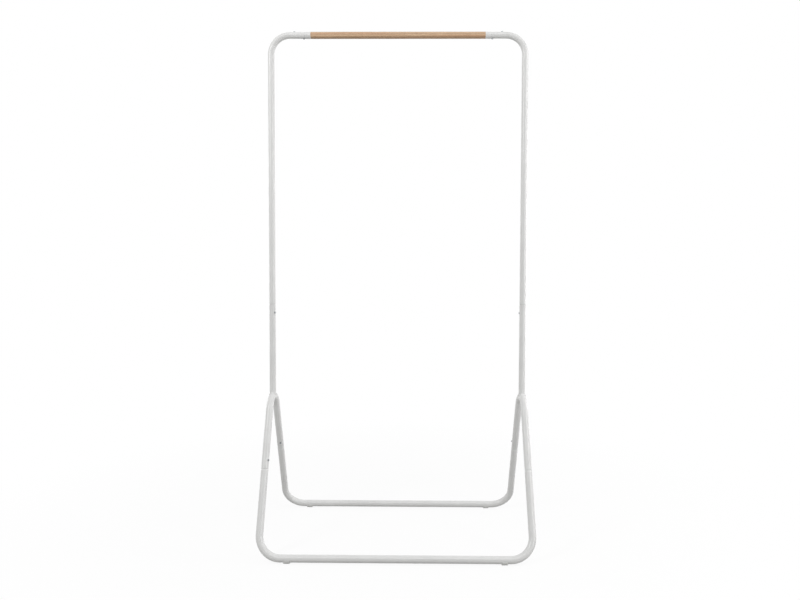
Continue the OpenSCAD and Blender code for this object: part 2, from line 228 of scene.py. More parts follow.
def paint(tree, shader, tone, roughness, normal):
    """Feeds a shader its colour, its roughness and its relief."""
    for name, value in (("Base Color", tone), ("Roughness", roughness), ("Normal", normal)):
        feed(tree, shader.inputs[name], value)


def powder_coat(finishes):
    """Polyester powder melted onto steel tube, semi-gloss."""
    # The powder flows into a closed film, so the eye sees soft drawn-out reflections with a faint orange
    # peel in them, and a tone that hardly changes
    material, tree, shader, place = surface("semi-gloss powder coat", IOR=1.5)
    thin = spread(tree, noise(tree, place, size=45 * MM, detail=3.0), (0.35, 0.7))
    tone = mixed(tree, thin, finishes.coat, finishes.coat_thin)
    mean, stray = finishes.coat_roughness, finishes.coat_unevenness
    roughness = spread(tree, noise(tree, place, size=14 * MM), (0.3, 0.7), (mean - stray, mean + stray))
    waves = noise(tree, place, size=finishes.peel, detail=1.0)
    paint(tree, shader, tone, roughness, relief(tree, waves, strength=0.05, depth=0.1 * MM))
    return material


def turned_beech(finishes):
    """Beech dowel, turned, sanded along its length and sealed with satin lacquer."""
    # The rings run nearly along the dowel, so the eye sees long frayed streaks, short darker rays between
    # them and a low sheen from the lacquer
    material, tree, shader, place = surface("lacquered beech", IOR=1.5, Coat_Weight=0.25,
                                            Coat_Roughness=0.3)
    # The middle of the rings lies in front of the dowel and below it, and runs a little askew to it
    heart = add(tree, "ShaderNodeMapping", {"Vector": place, "Location": (0, 20 * MM, 40 * MM - RAIL_HEIGHT),
                                            "Rotation": (0, math.radians(0.4), math.radians(0.7))})
    drawn_out = add(tree, "ShaderNodeMapping", {"Vector": heart, "Scale": (0.05, 1, 1)})
    # Bundles of fibres are about 0.2 mm wide, and are drawn wider to show
    fibres = stretched_noise(tree, place, long=30 * MM, wide=0.9 * MM, roughness=0.6)
    # The fibres fray the rings' edges by up to a fifth of a ring
    fray = maths(tree, "MULTIPLY_ADD", fibres, 5.0, -2.5)
    # A wave's rings are a fiftieth of pi apart at a scale of 5. Those of beech are about 3 mm apart, and
    # are drawn wider to show
    rings = add(tree, "ShaderNodeTexWave", {"Vector": drawn_out, "Scale": math.pi / 10 / finishes.ring_gap,
                                            "Distortion": 3.0, "Detail": 3.0, "Detail Scale": 0.35,
                                            "Phase Offset": fray},
                wave_type="RINGS", rings_direction="X", wave_profile="SAW")
    late = spread(tree, rings.outputs["Fac"], (0.25, 1.0), (0.0, 0.85), interpolation_type="SMOOTHSTEP")
    grain = add(tree, "ShaderNodeMix", {"Factor": 0.35, "A": late, "B": fibres})
    pale = mixed(tree, grain, finishes.wood_light, finishes.wood_dark)
    drift = stretched_noise(tree, place, long=170 * MM, wide=6 * MM, roughness=0.5)
    wood = mixed(tree, spread(tree, drift, (0.42, 0.68), (0.0, 0.6)), pale, finishes.wood_warm)
    # Rays are about 3 mm long and 0.3 mm wide, and are drawn larger to show
    cells = add(tree, "ShaderNodeTexVoronoi", {"Vector": stretched(tree, place, long=4.5 * MM, wide=0.9 * MM),
                                               "Scale": 1.0})
    rays = spread(tree, cells.outputs["Distance"], (0.16, 0.3), (0.5, 0.0))
    tone = mixed(tree, rays, wood, finishes.wood_fleck)
    dull = spread(tree, fibres, result=(0.42, 0.55))
    paint(tree, shader, tone, dull, relief(tree, fibres, strength=0.15, depth=0.05 * MM))
    return material


def zinc_plate(finishes):
    """Steel screws and buttons, barrel plated with zinc."""
    # Tumbling in the barrel leaves a bright milky metal with dull patches and tiny dents
    material, tree, shader, place = surface("zinc-plated steel", Metallic=1.0)
    dulled = spread(tree, noise(tree, place, size=2.5 * MM, detail=3.0), (0.4, 0.65))
    tone = mixed(tree, dulled, finishes.zinc, finishes.zinc_dull)
    roughness = spread(tree, dulled, result=(0.26, 0.42))
    dents = noise(tree, place, size=0.7 * MM)
    paint(tree, shader, tone, roughness, relief(tree, dents, strength=0.15, depth=0.05 * MM))
    return material


def spring_strip(finishes):
    """Hardened spring steel, cold rolled to strip and oiled."""
    # The rolls leave a smooth dark metal with faint marks, and the oil darkens it in patches
    material, tree, shader, place = surface("rolled spring steel", Metallic=1.0)
    oiled = spread(tree, noise(tree, place, size=6 * MM, detail=3.0), (0.4, 0.6))
    tone = mixed(tree, oiled, finishes.spring, finishes.spring_dark)
    roughness = spread(tree, oiled, result=(0.3, 0.18))
    marks = noise(tree, place, size=0.4 * MM, detail=1.0)
    paint(tree, shader, tone, roughness, relief(tree, marks, strength=0.08, depth=0.02 * MM))
    return material


def moulded_nylon(finishes):
    """Glides, moulded from white nylon in a spark-eroded tool."""
    # Light enters a little way, which softens the edges, and the tool leaves a fine dull grit
    material, tree, shader, place = surface("moulded nylon", IOR=1.53, Subsurface_Weight=0.15,
                                            Subsurface_Radius=(1.0, 0.98, 0.94),
                                            Subsurface_Scale=0.8 * MM)
    shade = spread(tree, noise(tree, place, size=9 * MM), (0.3, 0.7), (0.96, 1.0))
    tone = add(tree, "ShaderNodeHueSaturation", {"Color": finishes.nylon, "Value": shade})
    # The grit is about 0.1 mm, and is drawn as 0.5 mm to show
    grit = noise(tree, place, size=0.5 * MM)
    roughness = spread(tree, grit, result=(0.45, 0.6))
    paint(tree, shader, tone, roughness, relief(tree, grit, strength=0.15, depth=0.05 * MM))
    return material


FINISHES_MADE = {}


def finish(make):
    """The finish that a function makes, made once."""
    if make not in FINISHES_MADE:
        FINISHES_MADE[make] = make(bpy.context.scene.rack_finishes)
    return FINISHES_MADE[make]


def dress(nodes, material):
    """Gives CAD nodes a finish."""
    for name in nodes:
        slots = frame["nodes"][name].material_slots
        if not slots:
            raise RuntimeError(f"{name} has no material slot")
        for slot in slots:
            slot.material = material


# Pieces grown by node trees

def sized_tree(name, sizes):
    """A tree with a named input for each size, and those inputs' sockets in it."""
    tree = bpy.data.node_groups.new(name, "GeometryNodeTree")
    kinds = {float: "NodeSocketFloat", int: "NodeSocketInt", bpy.types.Material: "NodeSocketMaterial"}
    for label, value in sizes.items():
        socket = tree.interface.new_socket(label, in_out="INPUT", socket_type=kinds[type(value)])
        if isinstance(value, float):
            socket.subtype = "DISTANCE"
    tree.interface.new_socket("Piece", in_out="OUTPUT", socket_type="NodeSocketGeometry")
    return tree, add(tree, "NodeGroupInput").outputs[:len(sizes)]


def close_tree(tree, shape, material):
    """Ends a tree with plain, smooth faces of one material."""
    plain = add(tree, "GeometryNodeRealizeInstances", {"Geometry": shape})
    smooth = add(tree, "GeometryNodeSetShadeSmooth", {"Geometry": plain})
    painted = add(tree, "GeometryNodeSetMaterial", {"Geometry": smooth, "Material": material})
    add(tree, "NodeGroupOutput", {"Piece": painted})


def outline(tree, corners, steps):
    """A flat line through (x, y, rounding) corners, with each rounding drawn in some steps."""
    index = add(tree, "GeometryNodeInputIndex")
    places = add(tree, "GeometryNodeIndexSwitch", {"Index": index}, data_type="VECTOR")
    rounding = add(tree, "GeometryNodeIndexSwitch", {"Index": index}, data_type="FLOAT")
    for switch in (places, rounding):
        while len(switch.index_switch_items) < len(corners):
            switch.index_switch_items.new()
    for k, (x, y, fillet) in enumerate(corners):
        feed(tree, places.inputs[k + 1], vector(tree, x, y))
        feed(tree, rounding.inputs[k + 1], fillet)
    line = add(tree, "GeometryNodeCurvePrimitiveLine")
    count = add(tree, "GeometryNodeResampleCurve", {"Curve": line, "Count": len(corners)})
    bent = add(tree, "GeometryNodeSetPosition", {"Geometry": count, "Position": places})
    return add(tree, "GeometryNodeFilletCurve", {"Curve": bent, "Count": steps, "Radius": rounding,
                                                 "Limit Radius": True}, mode="POLY")


def turned(tree, corners, steps, around):
    """A closed form turned about Z from (radius, height, rounding) corners, both ends on the axis."""
    axis_gap = 0.01 * MM
    below = [(radius, maths(tree, "MULTIPLY", height, -1.0), fillet) for radius, height, fillet in corners]
    eased = outline(tree, below, steps)
    spindle = add(tree, "GeometryNodeCurvePrimitiveCircle", {"Resolution": around, "Radius": axis_gap})
    form = add(tree, "GeometryNodeCurveToMesh", {"Curve": spindle, "Profile Curve": eased})
    return add(tree, "GeometryNodeMergeByDistance", {"Geometry": form, "Distance": 3 * axis_gap})


def settle(piece, mesh, body, nodes):
    """Gives a piece its finished mesh, CAD nodes to replace and a body, where one is given."""
    shell = bmesh.new()
    shell.from_mesh(mesh)
    bmesh.ops.remove_doubles(shell, verts=shell.verts, dist=MERGE_GAP)
    bmesh.ops.recalc_face_normals(shell, faces=shell.faces)
    shell.to_mesh(mesh)
    shell.free()
    mesh.set_sharp_from_angle(angle=SHARP_EDGE)
    piece.data = mesh
    if body:
        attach(piece, body)
    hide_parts(*nodes)
    return piece


def grow(name, tree, sizes, place, body, nodes):
    """Runs a tree with these sizes and settles the result at a place."""
    piece = bpy.data.objects.new(name, bpy.data.meshes.new(name))
    bpy.context.scene.collection.objects.link(piece)
    shape = piece.modifiers.new("shape", "NODES")
    shape.node_group = tree
    for socket in tree.interface.items_tree:
        if socket.in_out == "INPUT":
            shape[socket.identifier] = sizes[socket.name]
    grown = bpy.context.evaluated_depsgraph_get()
    mesh = bpy.data.meshes.new_from_object(piece.evaluated_get(grown), preserve_all_data_layers=True,
                                           depsgraph=grown)
    piece.modifiers.clear()
    if not mesh.polygons:
        raise RuntimeError(f"{name} came out empty")
    mesh.name = name
    mesh.transform(place)
    return settle(piece, mesh, body, nodes)


# Hanging rail

class RailSizes(bpy.types.PropertyGroup):
    """Sizes of the turned rail that the CAD part doesn't give."""

    tenon_radius: length("Tenon radius", "Radius of the tenons inside the ferrules", 7.3 * MM)
    shoulder_rounding: length("Shoulder rounding", "Rounding where the wood meets a ferrule", 0.8 * MM)
    tenon_rounding: length("Tenon rounding", "Rounding at the ends of the tenons", 1 * MM)


class RACK_OT_turn_rail(bpy.types.Operator):
    """Turns the wooden hanging rail with a tenon at each end"""

    bl_idname = "rack.turn_rail"
    bl_label = "Turn the hanging rail"

    def execute(self, context):
        eases = context.scene.rack_rail
        sizes = {"Half Length": SHOULDER_X, "Radius": RAIL_RADIUS, "Half Length With Tenons": RAIL_HIGH.x,
                 "Tenon Radius": eases.tenon_radius, "Shoulder Rounding": eases.shoulder_rounding,
                 "Tenon Rounding": eases.tenon_rounding, "Steps Around": 96,
                 "Material": finish(turned_beech)}
        tree, given = sized_tree("Turned hanging rail", sizes)
        half, radius, reach, tenon, shoulder, tip, around, wood = given
        left = maths(tree, "MULTIPLY", half, -1.0)
        left_reach = maths(tree, "MULTIPLY", reach, -1.0)
        corners = [(0.0, left_reach, 0.0), (tenon, left_reach, tip), (tenon, left, 0.0),
                   (radius, left, shoulder), (radius, half, shoulder), (tenon, half, 0.0),
                   (tenon, reach, tip), (0.0, reach, 0.0)]
        close_tree(tree, turned(tree, corners, steps=5, around=around), wood)
        place = Matrix.Translation((0, 0, RAIL_HEIGHT)) @ Matrix.Rotation(math.radians(90), 4, "Y")
        grow("hanging_rail", tree, sizes, place, "rack", ["wood_rail"])
        return {"FINISHED"}


# Weld beads

class WeldSizes(bpy.types.PropertyGroup):
    """Sizes of the beads that join the posts to the leg arches."""

    arch_bend_radius: length("Arch bend radius", "Bend radius of a leg arch's crown", 58 * MM)
    bead_radius: length("Bead radius", "Radius of a bead's round top", 1.9 * MM)
    root: length("Root", "Distance of a bead's middle from the post's surface", 0.5 * MM)
    ripple_gap: length("Ripple spacing", "Distance between a bead's ripples", 1.7 * MM)
    ripple_height: length("Ripple height", "Height of a bead's ripples", 0.22 * MM)


class RACK_OT_lay_welds(bpy.types.Operator):
    """Lays a rippled weld bead along the saddle between each post and its leg arch"""

    bl_idname = "rack.lay_welds"
    bl_label = "Lay the weld beads"

    def execute(self, context):
        beads = context.scene.rack_weld
        sizes = {"Path Radius": POST_RADIUS + beads.root, "Arch Radius": ARCH_RADIUS,
                 "Arch Bend Radius": beads.arch_bend_radius, "Bead Radius": beads.bead_radius,
                 "Ripple Spacing": beads.ripple_gap, "Ripple Height": beads.ripple_height,
                 "Steps Along": 480, "Material": finish(powder_coat)}
        tree, given = sized_tree("Rippled weld bead", sizes)
        path, arch, bend, bead, gap, height, steps, coat = given
        # The path lies on the arch: its height there is that of a ring of tube above the ring's centre
        ring = add(tree, "GeometryNodeCurvePrimitiveCircle", {"Resolution": steps, "Radius": path})
        at = add(tree, "ShaderNodeSeparateXYZ", {"Vector": add(tree, "GeometryNodeInputPosition")})
        x_squared = maths(tree, "POWER", at.outputs["X"], 2.0)
        y_squared = maths(tree, "POWER", at.outputs["Y"], 2.0)
        inside = maths(tree, "SUBTRACT", maths(tree, "POWER", arch, 2.0), x_squared)
        outer = maths(tree, "ADD", maths(tree, "SQRT", inside), bend)
        rise = maths(tree, "SUBTRACT", maths(tree, "POWER", outer, 2.0), y_squared)
        top = maths(tree, "SUBTRACT", maths(tree, "SQRT", rise), bend)
        saddle = add(tree, "GeometryNodeSetPosition", {"Geometry": ring, "Offset": vector(tree, z=top)})
        turns = maths(tree, "DIVIDE", add(tree, "GeometryNodeSplineParameter").outputs["Length"], gap)
        swing = maths(tree, "SINE", maths(tree, "MULTIPLY", turns, math.pi))
        hills = maths(tree, "MULTIPLY_ADD", maths(tree, "ABSOLUTE", swing), height, bead)
        section = add(tree, "GeometryNodeCurvePrimitiveCircle", {"Resolution": 18, "Radius": 1.0})
        rope = add(tree, "GeometryNodeCurveToMesh", {"Curve": saddle, "Profile Curve": section,
                                                     "Scale": hills})
        close_tree(tree, rope, coat)
        for side, x in (("left", -POST_X), ("right", POST_X)):
            place = Matrix.Translation((x, 0, ARCH_HIGH.z - ARCH_RADIUS))
            grow(f"{side}_weld_bead", tree, sizes, place, "rack",
                 [f"{side}_post_weld"])
        return {"FINISHED"}


# Fixing screws

class ScrewSizes(bpy.types.PropertyGroup):
    """Sizes of the two screws under the rail."""

    head_height: length("Head height", "Height of a pan head", 2.4 * MM)
    dome: share("Dome", "Share of the head's height that is rounded", 0.7)
    head_rounding: length("Head rounding", "Rounding at the head's lower edge", 0.15 * MM)
    shank_radius: length("Shank radius", "Radius of the shank", 1.7 * MM)
    root_rounding: length("Root rounding", "Rounding between the head and the shank", 0.2 * MM)
    point_start: share("Point start", "Share of the shank's length that stays full", 0.8)
    point_radius: length("Point radius", "Radius of the blunt point", 0.2 * MM)
    recess_length: length("Recess length", "Length of each arm pair of the cross recess", 3.6 * MM)
    recess_width: length("Recess width", "Width of the cross recess's arms", 0.9 * MM)
    recess_depth: length("Recess depth", "Depth of the cross recess", 1.4 * MM)
    recess_taper: share("Recess taper", "Size of the recess's bottom as a share of its top", 0.45)


class RACK_OT_drive_screws(bpy.types.Operator):
    """Drives a pan-head screw up into each end of the rail"""

    bl_idname = "rack.drive_screws"
    bl_label = "Drive the fixing screws"

    def execute(self, context):
        screws = context.scene.rack_screws
        seat = SCREWS_LOW.z + screws.head_height
        sizes = {"Half Spacing": SCREWS_HIGH.x - SCREW_HEAD_RADIUS, "Head Radius": SCREW_HEAD_RADIUS,
                 "Head Height": screws.head_height, "Shank Radius": screws.shank_radius,
                 "Shank Length": SCREWS_HIGH.z - seat, "Recess Length": screws.recess_length,
                 "Recess Width": screws.recess_width, "Recess Depth": screws.recess_depth,
                 "Material": finish(zinc_plate)}
        tree, given = sized_tree("Pan-head screws", sizes)
        apart, head, height, shank, reach, long, wide, deep, zinc = given
        full_end = maths(tree, "MULTIPLY", reach, -screws.point_start)
        tip = maths(tree, "MULTIPLY", reach, -1.0)
        dome = maths(tree, "MULTIPLY", height, screws.dome)
        corners = [(0.0, height, 0.0), (head, height, dome), (head, 0.0, screws.head_rounding),
                   (shank, 0.0, screws.root_rounding), (shank, full_end, 0.0),
                   (screws.point_radius, tip, 0.0), (0.0, tip, 0.0)]
        form = turned(tree, corners, steps=7, around=56)
        arm_size = vector(tree, long, wide, maths(tree, "MULTIPLY", deep, 2.0))
        arm = add(tree, "GeometryNodeMeshCube", {"Size": arm_size, "Vertices X": 2, "Vertices Y": 2,
                                                 "Vertices Z": 2})
        raised = add(tree, "GeometryNodeTransform", {"Geometry": arm,
                                                     "Translation": vector(tree, z=height)})
        # The arms narrow towards their bottom, as the driver's tip does
        spot = add(tree, "GeometryNodeInputPosition")
        spot_height = add(tree, "ShaderNodeSeparateXYZ", {"Vector": spot}).outputs["Z"]
        low = maths(tree, "LESS_THAN", spot_height, height)
        pinch = spread(tree, low, result=(1.0, screws.recess_taper))
        narrow = add(tree, "ShaderNodeVectorMath", {0: spot, 1: vector(tree, pinch, pinch, 1.0)},
                     operation="MULTIPLY")
        arms = add(tree, "GeometryNodeSetPosition", {"Geometry": raised, "Position": narrow})
        crossed = add(tree, "GeometryNodeTransform", {"Geometry": arms,
                                                      "Rotation": (0, 0, math.radians(90))})
        for cutter in (arms, crossed):
            form = add(tree, "GeometryNodeMeshBoolean", {"Mesh 1": form, "Mesh 2": cutter},
                       operation="DIFFERENCE", solver="EXACT")
        start = vector(tree, maths(tree, "MULTIPLY", apart, -1.0))
        pitch = vector(tree, maths(tree, "MULTIPLY", apart, 2.0))
        ends = add(tree, "GeometryNodeMeshLine", {"Count": 2, "Start Location": start, "Offset": pitch})
        upside_down = (math.radians(180), 0, math.radians(24))
        pair = add(tree, "GeometryNodeInstanceOnPoints", {"Points": ends, "Instance": form,
                                                          "Rotation": upside_down})
        close_tree(tree, pair, zinc)
        grow("fixing_screws", tree, sizes, Matrix.Translation((0, 0, seat)), "rack",
             ["rail_screws"])
        return {"FINISHED"}


# Snap buttons

class ButtonSizes(bpy.types.PropertyGroup):
    """Sizes of the sprung buttons that lock the plug-in joints."""

    radius: length("Button radius", "Radius of a button's shank", 2.9 * MM)
    dome: length("Dome height", "Height of a button's domed end", 1.2 * MM)
    rim_rounding: length("Rim rounding", "Rounding at the dome's rim", 0.35 * MM)
    root_rounding: length("Root rounding", "Rounding between the shank and the flange", 0.3 * MM)
    flange_radius: length("Flange radius", "Radius of the flange inside the tube", 3.75 * MM)
    flange_thickness: length("Flange thickness", "Thickness of the flange inside the tube", 0.8 * MM)
    flange_rounding: length("Flange rounding", "Rounding at the flange's edges", 0.2 * MM)


def along(node, direction):
    """Lowest and highest reach of a CAD node along a direction."""
    reach = [direction.dot(vertex.co) for vertex in frame["nodes"][node].data.vertices]
    return min(reach), max(reach)


class RACK_OT_fit_buttons(bpy.types.Operator):
    """Fits a domed snap button in each joint, on its own sliding body"""

    bl_idname = "rack.fit_buttons"
    bl_label = "Fit the snap buttons"

    def execute(self, context):
        shape = context.scene.rack_buttons
        sizes = {"Height": 0.0, "Radius": shape.radius, "Dome Height": shape.dome,
                 "Flange Radius": shape.flange_radius, "Flange Thickness": shape.flange_thickness,
                 "Material": finish(zinc_plate)}
        tree, given = sized_tree("Domed snap button", sizes)
        height, radius, dome, flange, thick, zinc = given
        corners = [(0.0, height, 0.0)]
        rings = 6
        for k in range(1, rings + 1):
            part = k / rings
            drop = maths(tree, "MULTIPLY", dome, part * part)
            corners.append((maths(tree, "MULTIPLY", radius, part), maths(tree, "SUBTRACT", height, drop),
                            shape.rim_rounding if k == rings else 0.0))
        corners += [(radius, thick, shape.root_rounding), (flange, thick, shape.flange_rounding),
                    (flange, 0.0, shape.flange_rounding), (0.0, 0.0, 0.0)]
        close_tree(tree, turned(tree, corners, steps=4, around=48), zinc)
        for joint in frame["joints"]:
            node = joint["child"]
            out = -Vector(joint["axis"]).normalized()
            side = out.orthogonal().normalized()
            across = out.cross(side)
            base, tip = along(node, out)
            middle = side * sum(along(node, side)) / 2 + across * sum(along(node, across)) / 2 + out * base
            place = Matrix.Translation(middle) @ Matrix((side, across, out)).transposed().to_4x4()
            grow(node.replace("button", "snap_button"), tree, {**sizes, "Height": tip - base}, place, node,
                 [node])
        return {"FINISHED"}


# Glides

class GlideSizes(bpy.types.PropertyGroup):
    """Sizes of the moulded glides under the floor bars."""

    corner: length("Corner radius", "Radius of a glide's corners, seen from above", 5 * MM)
    side_edge: length("Side edge radius", "Radius of a glide's lower edges along its bar", 9 * MM)
    end_edge: length("End edge radius", "Radius of a glide's lower edges at its ends", 4.5 * MM)
    rim_edge: length("Rim edge radius", "Radius of a glide's upper edges", 0.4 * MM)
    lip: length("Lip", "Thickness of a glide's thin ends under its bar", 0.5 * MM)
    play: length("Play", "Gap between a glide and its bar", 0.1 * MM)
    peg_radius: length("Peg radius", "Radius of the peg that snaps into the bar", 2.7 * MM)
    barb_radius: length("Barb radius", "Largest radius of the peg's barb", 3.5 * MM)
    barb_tip: share("Barb tip", "Radius of the barb's tip as a share of its largest one", 0.62)
    barb_height: length("Barb height", "Height of the peg's barb", 3 * MM)
    barb_gap: length("Barb gap", "Gap between the barb and the bar's wall", 0.2 * MM)


def glide_mesh(name, low, high, bar_height, bar_radius, shape):
    """A saddle under a bar along X: a rounded block from the floor, hollowed by the bar, and its peg."""
    half = (high - low) / 2
    centre = (high + low) / 2
    saddle = bar_radius + shape.play
    block_top = high.z
    rim_y = math.sqrt(saddle ** 2 - (bar_height - block_top) ** 2)

    def reach(y):
        """Half length of the glide at a distance across the bar."""
        over = max(abs(y) - (half.y - shape.corner), 0)
        return half.x - shape.corner + math.sqrt(max(shape.corner ** 2 - over ** 2, 0))

    def inward(x, y):
        """Distance of a point from the glide's edge, seen from above."""
        over_x, over_y = abs(x) - (half.x - shape.corner), abs(y) - (half.y - shape.corner)
        outside = math.hypot(max(over_x, 0), max(over_y, 0)) + min(max(over_x, over_y), 0)
        return max(shape.corner - outside, 0)

    def eased(distance, radius):
        """How far a rounded edge falls back at a distance from it."""
        short = max(radius - distance, 0)
        return radius - math.sqrt(radius ** 2 - short ** 2)

    def top(x, y):
        """Height of the hollow upper side."""
        rest = block_top if abs(y) >= rim_y else bar_height - math.sqrt(saddle ** 2 - y * y)
        return rest - eased(inward(x, y), shape.rim_edge)

    def bottom(x, y):
        """Height of the lower side, which is flat in the middle."""
        side, end = eased(half.y - abs(y), shape.side_edge), eased(half.x - abs(x), shape.end_edge)
        return min((side ** 3 + end ** 3) ** (1 / 3), top(x, y) - shape.lip)

    quarter_turn = math.pi / 2
    end_steps, rim_steps, wall_steps = 12, 6, 14
    rim = [rim_y + (half.y - rim_y) * math.sin(quarter_turn * k / rim_steps) for k in range(rim_steps + 1)]
    wall = [rim_y * math.sin(quarter_turn * k / wall_steps) for k in range(1, wall_steps)]
    rows = [-y for y in reversed(wall + rim)] + [0.0] + wall + rim
    columns = [math.sin(quarter_turn * k / end_steps) for k in range(-end_steps, end_steps + 1)]
    shell = bmesh.new()
    sheets = []
    for height in (top, bottom):
        sheets.append([[shell.verts.new((centre.x + reach(y) * t, centre.y + y, height(reach(y) * t, y)))
                        for t in columns] for y in rows])
    for sheet in sheets:
        for j in range(len(rows) - 1):
            for i in range(len(columns) - 1):
                shell.faces.new((sheet[j][i], sheet[j][i + 1], sheet[j + 1][i + 1], sheet[j + 1][i]))
    upper, lower = [sheet[0] + [row[-1] for row in sheet[1:]] + sheet[-1][-2::-1]
                    + [row[0] for row in sheet[-2:0:-1]] for sheet in sheets]
    for k in range(len(upper)):
        shell.faces.new((upper[k - 1], upper[k], lower[k], lower[k - 1]))
    peg_foot = bar_height - bar_radius - shape.peg_radius / 4
    inner_wall = math.sqrt((bar_radius - TUBE_WALL) ** 2 - shape.barb_radius ** 2)
    barb_foot = bar_height - inner_wall + shape.barb_gap
    barb_end = barb_foot + shape.barb_height
    peg = [(0, peg_foot), (shape.peg_radius, peg_foot), (shape.peg_radius, barb_foot),
           (shape.barb_radius, barb_foot), (shape.barb_tip * shape.barb_radius, barb_end), (0, barb_end)]
    around = 32
    turns = [2 * math.pi * k / around for k in range(around)]
    loops = [[shell.verts.new((centre.x + r * math.cos(turn), centre.y + r * math.sin(turn), z))
              for turn in turns] for r, z in peg]
    for one, other in zip(loops, loops[1:]):
        for k in range(around):
            shell.faces.new((one[k - 1], one[k], other[k], other[k - 1]))
    for face in shell.faces:
        face.smooth = True
    mesh = bpy.data.meshes.new(name)
    shell.to_mesh(mesh)
    shell.free()
    return mesh


class RACK_OT_press_glides(bpy.types.Operator):
    """Presses a moulded glide onto each end of both floor bars"""

    bl_idname = "rack.press_glides"
    bl_label = "Press on the glides"

    def execute(self, context):
        shape = context.scene.rack_glides
        bar_radius = abs(FLOOR_TUBE_LOW.y) - abs(sum(box.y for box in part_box("front_left_foot")) / 2)
        for node in FEET:
            name = node.replace("foot", "glide")
            mesh = glide_mesh(name, *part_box(node), FLOOR_TUBE_LOW.z + bar_radius, bar_radius, shape)
            mesh.materials.append(finish(moulded_nylon))
            piece = bpy.data.objects.new(name, mesh)
            context.scene.collection.objects.link(piece)
            settle(piece, mesh, "rack", [node])
        return {"FINISHED"}


# Tubes

class RACK_OT_coat_tubes(bpy.types.Operator):
    """Powder coats every tube and both ferrules"""

    bl_idname = "rack.coat_tubes"
    bl_label = "Coat the tubes"

    def execute(self, context):
        dress(COATED, finish(powder_coat))
        return {"FINISHED"}


# Leaf springs

class SpringSizes(bpy.types.PropertyGroup):
    """Sizes of the leaf springs behind the snap buttons."""

    width: length("Strip width", "Width of the spring strip", 6 * MM)
    thickness: length("Strip thickness", "Thickness of the spring strip", 0.6 * MM)
    landing: length("Landing", "Length of the flat end under a button", 7 * MM)
    nose: length("Nose", "Height of the fold's slanted end", 1.6 * MM)
    fold: length("Fold radius", "Radius of the bends in the strip", 1 * MM)
    edge: length("Strip edge radius", "Radius of the strip's rolled edges", 0.2 * MM)
    step: length("Step", "Distance between the points along the strip", 0.8 * MM)


def spring_tree(shape):
    """A tree for a strip that lies along X, folds back and lifts its flat end along Y, and its sizes."""
    sizes = {"Lift": 0.0, "Reach": 0.0, "Tail": 0.0, "Width": shape.width, "Thickness": shape.thickness,
             "Landing": shape.landing, "Nose": shape.nose, "Fold": shape.fold, "Edge": shape.edge,
             "Step": shape.step, "Material": finish(spring_strip)}
    tree, given = sized_tree("Leaf spring", sizes)
    lift, reach, tail, width, thickness, landing, nose, fold, edge, step, steel = given
    half = maths(tree, "MULTIPLY", landing, 0.5)
    start = maths(tree, "MULTIPLY", half, -1.0)
    turn = maths(tree, "SUBTRACT", reach, nose)
    end = maths(tree, "MULTIPLY", tail, -1.0)
    corners = [(start, lift, 0.0), (half, lift, fold), (reach, nose, fold), (turn, 0.0, fold),
               (end, 0.0, 0.0)]
    route = outline(tree, corners, steps=6)
    even = add(tree, "GeometryNodeResampleCurve", {"Curve": route, "Length": step}, mode="LENGTH")
    upright = add(tree, "GeometryNodeSetCurveNormal", {"Curve": even}, mode="Z_UP")
    section = add(tree, "GeometryNodeCurvePrimitiveQuadrilateral", {"Width": thickness, "Height": width})
    rolled = add(tree, "GeometryNodeFilletCurve", {"Curve": section, "Count": 2, "Radius": edge},
                 mode="POLY")
    strip = add(tree, "GeometryNodeCurveToMesh", {"Curve": upright, "Profile Curve": rolled,
                                                  "Fill Caps": True})
    close_tree(tree, strip, steel)
    return tree, sizes


class RACK_OT_bend_springs(bpy.types.Operator):
    """Bends a leaf spring behind each snap button, in the shape it has at rest"""

    bl_idname = "rack.bend_springs"
    bl_label = "Bend the leaf springs"

    def execute(self, context):
        shape = context.scene.rack_springs
        tree, sizes = spring_tree(shape)
        square = 0.001
        for joint in frame["joints"]:
            button = joint["child"]
            node = button.replace("_button", "_spring")
            out = -Vector(joint["axis"]).normalized()
            # The strip's largest faces beside the button's axis are its two flat sides
            flanks = [face for face in frame["nodes"][node].data.polygons
                      if abs(face.normal.dot(out)) < square]
            ahead = out.cross(max(flanks, key=lambda face: face.area).normal).normalized()
            button_place = sum(along(button, ahead)) / 2
            if sum(along(node, ahead)) / 2 < button_place:
                ahead, button_place = -ahead, -button_place
            wide = ahead.cross(out)
            tail, reach = along(node, ahead)
            base, top = along(node, out)
            base += shape.thickness / 2
            top -= shape.thickness / 2
            sizes |= {"Lift": top - base, "Reach": reach - shape.thickness / 2 - button_place,
                      "Tail": button_place - tail}
            corner = ahead * button_place + out * base + wide * sum(along(node, wide)) / 2
            turn = Matrix((ahead, out, wide)).transposed().to_4x4()
            piece = grow(button.replace("_button", "_leaf_spring"), tree, sizes,
                         Matrix.Translation(corner) @ turn, None, [node])
            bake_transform(piece)
        return {"FINISHED"}


# Studio

